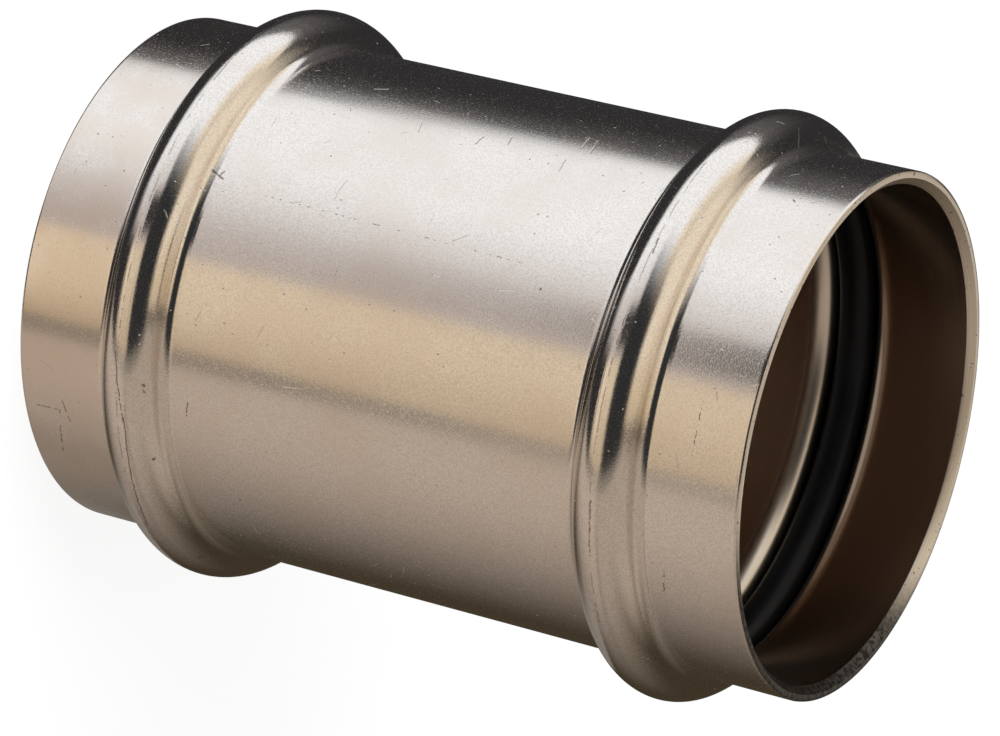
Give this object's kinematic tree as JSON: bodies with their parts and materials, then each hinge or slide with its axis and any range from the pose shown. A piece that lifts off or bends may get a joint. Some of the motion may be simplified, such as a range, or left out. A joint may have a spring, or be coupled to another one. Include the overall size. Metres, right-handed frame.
{
  "type": "press fit pipe sleeve",
  "caption": "Straight press fit sleeve that joins metal pipe: a satin metal tube with a rolled bead near each rim and a rubber seal ring inside each bead.",
  "frame": {"origin": "middle of the lower rim, on the surface that the sleeve stands on", "axes": "+Z along the sleeve's axis, towards the upper rim"},
  "size_m": [0.0646, 0.0646, 0.088],
  "materials": {
    "copper_nickel": "satin, warm silver, with fine grain",
    "seal_rubber": "smooth black rubber with a faint sheen"
  },
  "bodies": {
    "root": {"sleeve": "copper_nickel", "lower_seal_ring": "seal_rubber", "upper_seal_ring": "seal_rubber"}
  },
  "joints": []
}
